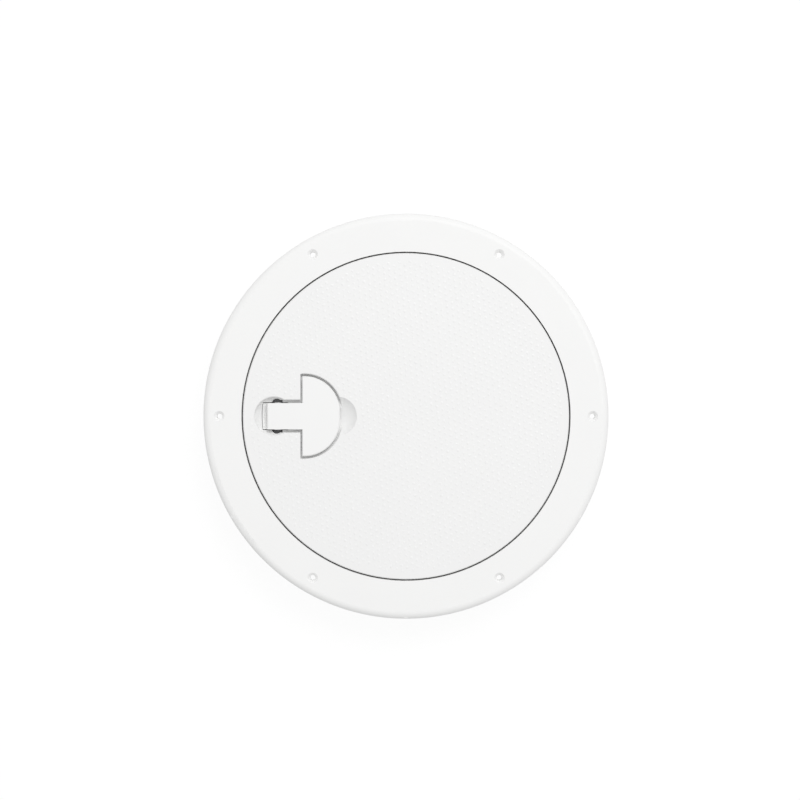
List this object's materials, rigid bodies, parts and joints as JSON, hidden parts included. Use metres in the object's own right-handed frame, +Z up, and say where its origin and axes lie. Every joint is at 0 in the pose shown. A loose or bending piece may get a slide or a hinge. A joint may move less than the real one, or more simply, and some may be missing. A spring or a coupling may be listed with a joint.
{
  "type": "deck inspection plate",
  "caption": "Round flush deck hatch: a flanged ring with a lift-out lid, held by claws that swing clear when the recessed T-shaped lever is raised.",
  "frame": {"origin": "centre of the screw circle, on the flange's underside, which lies on the deck", "axes": "+Z up out of the deck, along the hatch's axis; the lever's hinge is near the rim at -X and its free end points to +X"},
  "size_m": [0.278, 0.278, 0.051],
  "materials": {
    "white_moulding": "moulded, satin gloss",
    "white_lid": "moulded, satin, with small raised pips for grip",
    "white_lever": "moulded, satin gloss",
    "bush_plastic": "moulded, matt",
    "seal_rubber": "matt",
    "stainless": "brushed",
    "spring_steel": "bright drawn"
  },
  "bodies": {
    "frame": {"deck_frame": "white_moulding", "keeper_clip": "spring_steel", "keeper_screws": "stainless"},
    "lid": {"lid": "white_lid", "lid_seal": "seal_rubber", "shaft_bushes": "bush_plastic", "handle_spring": "spring_steel"},
    "lever": {"handle": "white_lever", "hub_pins": "stainless", "handle_shaft": "stainless", "shaft_seals": "seal_rubber", "latch_claws": "stainless", "claw_washers": "stainless", "claw_screws": "stainless"}
  },
  "joints": [
    {"name": "lid_lift", "type": "slide", "parent": "frame", "child": "lid", "axis": [0, 0, 1], "range_m": [0, 0.07], "deforming": ["keeper_clip"]},
    {"name": "handle_lift", "type": "hinge", "parent": "lid", "child": "lever", "pos_m": [-0.088, 0, -0.003], "axis": [0, -1, 0], "range_deg": [0, 90], "stiffness_Nm_per_rad": 0.03, "springref_deg": -34.38, "deforming": ["handle_spring"]}
  ]
}
